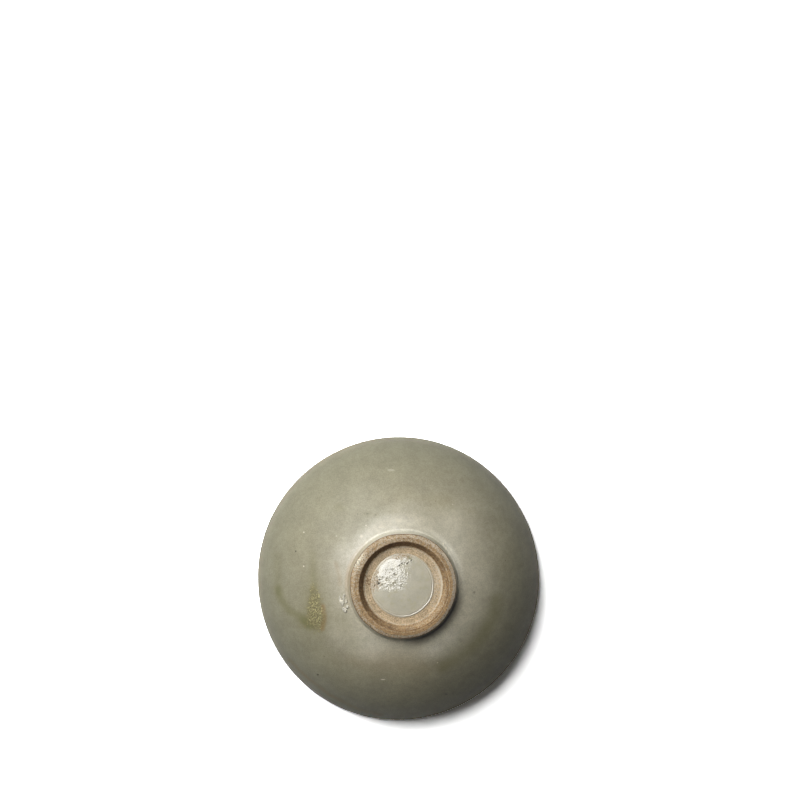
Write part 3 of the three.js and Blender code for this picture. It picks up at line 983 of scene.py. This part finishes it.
    def rim(self, points):
        """Darker towards the rim: a smooth rise with the radius. Its large blots are painted shade on the lit
        upper left and painted light at the upper right; it is less on the right, which is painted light, and
        it ends at a paler band at the very edge of the rim."""
        radius = radius_of(points)
        even = smooth(44, 84, radius + 2.5 * noise(points, 20, 45))
        # Painted light: less on the right; and a paler band at the very edge.
        paler = 0.35 * smooth(76, 84, radius) * near(points, -5, 35) + 0.7 * smooth(85.5, 88.5, radius)
        return np.clip(even + blots(points, PAINTED_SHADE_AND_LIGHT_BLOTS) - paler, 0, 1)


class BOWL_OT_inner_glaze(bpy.types.Operator):
    """The coat poured inside, from just above the lip to the middle of the floor"""

    bl_idname = "bowl.inner_glaze"
    bl_label = "Inner glaze"

    def execute(self, context):
        size, glaze, colours = settings(context)
        outside = wall_outside(size, glaze)
        inside = wall_inside(size, outside)
        path = joined(lip_side(size, inside[0], outside[0])[COATED_LIP::-1], inside)
        columns = 360
        start = MM * (0.6 + 0.3 * ring_noise(circle(columns), 11, 51))
        total = np.full(columns, distances(path)[-1])
        passed = np.concatenate([coat_rows(start, total, 116)[:-5], total[None]])
        bare = turned(along(path, passed), columns)
        body = smooth(0, glaze.fade, passed - start)
        waves = coat_waves(glaze, bare) * smooth(0, 12, radius_of(bare)) * body
        thickness = glaze.thin + (glaze.coat - glaze.thin) * body + waves
        free = along(path, passed, glaze.gap + thickness * rounded_edge(glaze, passed - start))
        against = along(path, passed[::-6], glaze.gap)
        grid = turned(np.concatenate([free[::-1], against[::-1]]), columns)
        thin = 0.8 * smooth(0.9, 0.1, (passed - start) / MM)
        marks = {"thin": np.concatenate([thin[::-1], np.zeros(against.shape[:2])])}
        coat = bpy.data.materials["celadon_glaze"]
        add_piece("inner_glaze", settled(grid), "glaze_inside", coat, marks)
        return {"FINISHED"}


# Bubbles that burst in the pooled glaze: place, radius and depth in millimetres, and how dark each is inside
BURST_PITS = (
    (-2.3, 12.5, 0.50, 0.35, 0.9), (-0.7, 13.8, 0.42, 0.30, 0.8), (1.0, 14.2, 0.38, 0.2, 0.4),
    (2.5, 13.7, 0.55, 0.35, 0.85), (3.3, 14.4, 0.35, 0.2, 0.6), (4.9, 15.4, 0.50, 0.3, 0.75),
    (-5.5, 7.3, 0.42, 0.40, 1.0), (-14.9, 1.5, 0.75, 0.45, 0.95), (-15.7, 2.8, 0.50, 0.3, 0.7),
    (-14.6, 3.9, 0.42, 0.3, 0.85), (-17.4, 0.4, 0.50, 0.3, 0.6), (-12.8, 1.1, 0.48, 0.2, 0.45),
    (-16.2, 5.7, 0.50, 0.2, 0.4), (-6.7, 10.2, 0.35, 0.2, 0.4), (-12.6, 5.4, 0.40, 0.15, 0.3),
    (-10.0, 4.5, 0.62, 0.12, 0.25), (-5.5, 1.6, 0.85, 0.12, 0.22), (-1.0, 0.6, 0.62, 0.25, 0.15),
)
# Where the pool is worn to sandy clay, in rows as above
WORN_BLOTS = ((1.0, -18.0, 4.0, 3.4, 7.5, 8, 0.6), (0.75, -1, 17.8, 6, 2.0, 4, 0.6))


class BOWL_OT_pool(bpy.types.Operator):
    """The glaze pooled on the floor inside the foot, with its rolled edge and burst bubbles"""

    bl_idname = "bowl.pool"
    bl_label = "Pooled glaze"

    def execute(self, context):
        size, glaze, colours = settings(context)
        columns, under_rows = 400, 12
        around = circle(columns)
        waver = 0.3 * ring_noise(around, 6, 61) + 0.12 * ring_noise(around, 25, 62)
        edge = glaze.pool_radius + MM * (waver - 0.25 - 0.45 * np.cos(around + math.radians(55)))
        inner = 1 - glaze.pool_roll / edge
        rim_rows = 1 - np.linspace(0, 1, 14)[1:-1] ** 2 * 0.06
        shares = np.concatenate([np.linspace(0, 1, under_rows), rim_rows, np.linspace(0.94, 0, 78)])[:, None]
        top = (np.arange(len(shares)) >= under_rows)[:, None]
        radius = shares * edge
        from_edge = (edge - radius) / MM
        roll = np.sqrt(np.clip(1 - (np.maximum(shares - inner, 0) / (1 - inner)) ** 2, 0, 1))
        body = 0.3 + 0.7 * smooth(0, 3.2, from_edge)
        bead = glaze.pool_bead * (bell(from_edge, 0.8, 0.32) + 0.55 * bell(from_edge, 1.9, 0.3))
        swell = glaze.pool_swell * (1 - shares**2)
        thickness = top * ((glaze.pool + swell) * body + bead) * roll
        grid = turned(np.stack([radius, well_floor(size, radius) + glaze.gap + thickness], -1), columns)
        inside = top * smooth(1.0, 0.85, shares)
        bubbly = inside * blot(grid, -7, 8, 11, 10, 30, 0.6)
        foam = 0.035 * noise(grid, 1.0, 64, 2) - 0.1 * self.craters(grid)
        lift = (0.03 * noise(grid, 5, 63) + bubbly * foam) * smooth(0, 1.5 * MM, radius)
        burst, pit = self.burst_bubbles(grid)
        grid[..., 2] += MM * (lift + burst * inside) * top
        marks = {
            "pit": pit * top,
            "edge": top * (0.6 * bell(from_edge, 0.4, 0.6) + 0.25 * bell(from_edge, 2, 1.2)),
            "worn": top * blots(grid, WORN_BLOTS, np.maximum),
            "olive": top * blot(grid, 4.4, 16.4, 2.2, 0.8, -45, 0.6),
            "bubbly": bubbly,
        }
        pool = pool_material(colours)
        add_piece("pooled_glaze", settled(grid), "glaze_foot_well", pool, marks)
        return {"FINISHED"}

    def burst_bubbles(self, grid):
        """Height in millimetres of round pits, smooth falls inside raised bells, and how dark they are."""
        height, dark = np.zeros(grid.shape[:2]), np.zeros(grid.shape[:2])
        for x, y, reach, depth, shade in BURST_PITS:
            off = np.hypot(*offset(grid, x, y)) / reach
            height += 0.08 * bell(off, 1.45, 0.3) - depth * smooth(1.2, 0.4, off)
            dark = np.maximum(dark, shade * smooth(1.25, 0.7, off))
        return height, dark

    def craters(self, grid):
        """1 in small round craters strewn over the upper left of the pool, each with a raised lip."""
        random = np.random.default_rng(65)
        count, total = 130, np.zeros(grid.shape[:2])
        right, up = random.normal(-8, 5.5, count), random.normal(7, 5, count)
        for x, y, reach in zip(right, up, random.uniform(0.22, 0.45, count)):
            off = np.hypot(*offset(grid, x, y)) / reach
            total = np.maximum(total, smooth(1, 0.2, off)) - 0.35 * bell(off, 1.3, 0.3)
        return total


# The scar's two prongs and its blob of lumps, in rows as above
SCAR_PRONGS = (
    (0.75, 1.5, ((-39.6, -5.2), (-38.6, -8.0), (-37.2, -11.5))),
    (0.7, 1.3, ((-35.9, -5.6), (-36.3, -8.8), (-37.0, -12.0))),
)
SCAR_LUMPS = (
    (1.0, -36.0, -15.0, 1.5, 1.5, 0, 0.6), (0.6, -38.2, -14.0, 0.9, 1.0, 0, 0.6),
    (0.6, -34.2, -13.0, 0.8, 1.1, 0, 0.6), (0.5, -34.7, -9.5, 0.7, 1.2, 0, 0.6),
)


class BOWL_OT_kiln_marks(bpy.types.Operator):
    """The crust that a neighbour left near the foot, and the kiln sand on the ring's bevel"""

    bl_idname = "bowl.kiln_marks"
    bl_label = "Kiln marks"

    def execute(self, context):
        self.add_scar(*settings(context))
        self.add_sand(*settings(context))
        return {"FINISHED"}

    def add_scar(self, size, glaze, colours):
        """An oval skin that swells above the glaze in two prongs and a blob, and lies under it elsewhere."""
        clay = joined(wall_outside(size, glaze), foot_outside(size))
        out, turn = np.linspace(1, 0, 90)[:, None], circle(220)
        middle = foot_root(size)[0] + glaze.scar_clear + glaze.scar_width / 2
        radius = middle + out * np.sin(turn) * glaze.scar_width / 2
        around = glaze.scar_angle - out * np.cos(turn) * glaze.scar_length / 2 / middle
        waves = coat_waves(glaze, placed(radius, around, surface_height(clay, radius)))
        coat = moved(clay, -(glaze.gap + glaze.coat))
        skin = placed(radius, around, surface_height(coat, radius) + waves)
        mass = np.maximum(streaks(skin, SCAR_PRONGS, np.maximum), blots(skin, SCAR_LUMPS, np.maximum))
        lumps = np.clip(0.5 + 0.9 * noise(skin, 1.2, 71), 0, 1)
        presence = smooth(0.12, 0.6, mass + 0.5 * (lumps - 0.5))
        under = skin[::-20] - np.array([0, 0, 0.35 * MM])
        sunk = 0.15 * MM * (1 - presence + smooth(0.85, 1, out))
        skin[..., 2] += glaze.scar_rise * presence * (0.3 + 0.7 * mass * lumps) - sunk
        tint = np.clip(0.25 + 0.75 * lumps * presence, 0, 1)
        marks = {"tint": np.concatenate([np.ones(under.shape[:2]), tint])}
        crust = crust_material("scar_crust", colours.scar, 0.4)
        grid = settled(np.concatenate([under, skin]))
        add_piece("kiln_scar_crust", grid, "kiln_scar", crust, marks)

    def add_sand(self, size, glaze, colours):
        """Lumpy grains, each a wavered ball, strewn over the bevel, most of all in the patch's middle."""
        random = np.random.default_rng(81)
        count, rings, sectors = 60, 7, 10
        polar = np.linspace(0, math.pi, rings)[:, None]
        ball = placed(np.sin(polar), circle(sectors), np.cos(polar))
        spread = np.clip(random.normal(0, 0.42, count), -1, 1)
        across = random.uniform(0.08, 0.8, count)
        around = glaze.sand_angle + spread * glaze.sand_length / 2 / size.foot_radius
        radius = size.foot_radius - across * size.bevel_width
        middle = placed(radius, around, surface_height(ring_face(size), radius))
        grain = glaze.sand_grain / 2 * random.uniform(0.45, 1.15, (count, 3)) * np.array([1, 1, 0.75])
        waver = 1 + 0.3 * random.uniform(-1, 1, (count, rings, sectors))
        waver[:, [0, -1]] = waver[:, [0, -1], :1]
        points = middle[:, None, None] + ball * waver[..., None] * grain[:, None, None]
        points[..., 2] = np.minimum(points[..., 2], size.height)
        index = np.arange(count * rings * sectors).reshape(count, rings, sectors)
        here, there = index[:, :-1], index[:, 1:]
        faces = np.stack([here, there, np.roll(there, -1, 2), np.roll(here, -1, 2)], -1).reshape(-1, 4)
        marks = {"tint": np.repeat(random.uniform(0.2, 1, count), rings * sectors)}
        crust = crust_material("sand_crust", colours.sand, 0.65)
        points = settled(points).reshape(-1, 3)
        add_mesh("kiln_sand_grains", points, faces.tolist(), "sand_crust", crust, marks)


class BOWL_OT_stage(bpy.types.Operator):
    """Camera, floor and soft light"""

    bl_idname = "bowl.stage"
    bl_label = "Stage"

    def execute(self, context):
        scene, look = context.scene, context.scene.stage_look
        self.add_camera(scene, look)
        self.add_lights(scene, look)
        self.add_floor(scene, look)
        self.add_room(scene, look)
        scene.view_settings.view_transform = "Standard"
        return {"FINISHED"}

    def add_camera(self, scene, look):
        """A long lens nearly straight above, a little off the bowl's axis, looking down."""
        camera = bpy.data.objects.new("camera", bpy.data.cameras.new("camera"))
        camera.data.lens = look.lens
        camera.location = (look.camera_x, look.camera_y, look.camera_height)
        back = (camera.location - Vector((look.aim_x, look.camera_y, 0))).normalized()
        right = Vector((0, 1, 0)).cross(back)
        turn = Matrix((right, back.cross(right), back)).transposed().to_4x4()
        camera.matrix_world = Matrix.Translation(camera.location) @ turn
        scene.collection.objects.link(camera)
        scene.camera = camera

    def add_lights(self, scene, look):
        """A large light from the upper left, milder in the gloss, and one overhead, in the gloss only."""
        out, far = self.slanted(look.key_tilt, look.key_azimuth), look.key_distance
        key = self.add_square_light(scene, "key", out * far, out, look.key_size, look.key_level)
        key.visible_glossy = False
        out = self.slanted(look.sheen_tilt, look.sheen_azimuth)
        sheen = self.add_square_light(scene, "sheen", out * far, out, look.sheen_size, look.sheen_level)
        sheen.visible_diffuse = False
        half = look.top_size / 2
        above = Vector((look.top_right - half, look.top_near + half, look.top_height))
        top = self.add_square_light(scene, "top", above, Vector((0, 0, 1)), look.top_size, look.top_level)
        top.visible_diffuse = False

    def slanted(self, tilt, azimuth):
        """A unit vector tilted from upright, towards an azimuth."""
        return Vector(placed(math.sin(tilt), azimuth, math.cos(tilt)))

    def add_square_light(self, scene, name, place, back, size, level):
        """A square light that faces away from its back. Its power is pi times its radiance and its area."""
        light = bpy.data.objects.new(name, bpy.data.lights.new(name, "AREA"))
        light.data.size = size
        light.data.energy = math.pi * level * size**2
        light.location = place
        light.rotation_mode = "QUATERNION"
        light.rotation_quaternion = back.to_track_quat("Z", "Y")
        scene.collection.objects.link(light)
        return light

    def add_floor(self, scene, look):
        """A wide floor that keeps the bowl's shadow: paler in reflections, and white to the camera, with an
        even white further out, where the lights no longer reach."""
        half = look.floor_size / 2
        mesh = bpy.data.meshes.new("floor")
        corners = [(x * half, y * half, 0) for x, y in ((-1, -1), (1, -1), (1, 1), (-1, 1))]
        mesh.from_pydata(corners, [], [range(4)])
        material = bpy.data.materials.new("floor")
        nodes = Nodes(material)
        levels = (look.floor_grey, look.floor_reflected, look.floor_boost)
        grey, paler, bright = (nodes.node("BsdfDiffuse", {"Color": [level] * 3})[0] for level in levels)
        even = nodes.node("Emission", {"Color": [1.0] * 3, "Strength": look.backdrop_level})[0]
        away = nodes.length_of(nodes.node("TexCoord")["Object"])
        bright = nodes.either(nodes.stepped(away, look.floor_lit, 2 * look.floor_lit), bright, even)
        camera, gloss = nodes.rays()
        seen = nodes.either(camera, paler, bright)
        both = nodes.either(nodes.maths("MAXIMUM", camera, gloss), grey, seen)
        nodes.node("OutputMaterial", {"Surface": both})
        mesh.materials.append(material)
        floor = bpy.data.objects.new("floor", mesh)
        scene.collection.objects.link(floor)

    def add_room(self, scene, look):
        """A white backdrop to the camera, greyer in reflections, and a dim even light on everything else."""
        world = bpy.data.worlds.new("room")
        nodes = Nodes(world)
        camera, gloss = nodes.rays()
        strength = nodes.node("Mix", {0: gloss, 2: look.fill_level, 3: look.reflected_level})[0]
        strength = nodes.node("Mix", {0: camera, 2: strength, 3: look.backdrop_level})[0]
        room = nodes.node("Background", {"Color": [1.0] * 3, "Strength": strength})[0]
        nodes.node("OutputWorld", {"Surface": room})
        scene.world = world


class VIEW3D_PT_bowl(bpy.types.Panel):
    """Lists the pieces and the stage"""

    bl_label = "Celadon bowl"
    bl_space_type = "VIEW_3D"
    bl_region_type = "UI"
    bl_category = "Bowl"

    def draw(self, context):
        for operator in OPERATORS:
            self.layout.operator(operator.bl_idname)
        for name, group in GROUPS.items():
            for setting in group.__annotations__:
                self.layout.prop(getattr(context.scene, name), setting)


GROUPS = {"bowl_sizes": BowlSizes, "glaze_sizes": GlazeSizes, "bowl_colours": BowlColours,
          "stage_look": StageLook}
OPERATORS = (BOWL_OT_clay_wall, BOWL_OT_foot_ring, BOWL_OT_outer_glaze, BOWL_OT_inner_glaze, BOWL_OT_pool,
             BOWL_OT_kiln_marks, BOWL_OT_stage)


def register():
    for cls in (*GROUPS.values(), *OPERATORS, VIEW3D_PT_bowl):
        bpy.utils.register_class(cls)
    for name, group in GROUPS.items():
        setattr(bpy.types.Scene, name, bpy.props.PointerProperty(type=group))


def unregister():
    for name in GROUPS:
        delattr(bpy.types.Scene, name)
    for cls in (VIEW3D_PT_bowl, *reversed(OPERATORS), *reversed(GROUPS.values())):
        bpy.utils.unregister_class(cls)


def main():
    register()
    for operator in OPERATORS:
        family, name = operator.bl_idname.split(".")
        getattr(getattr(bpy.ops, family), name)()


if __name__ == "__main__":
    main()
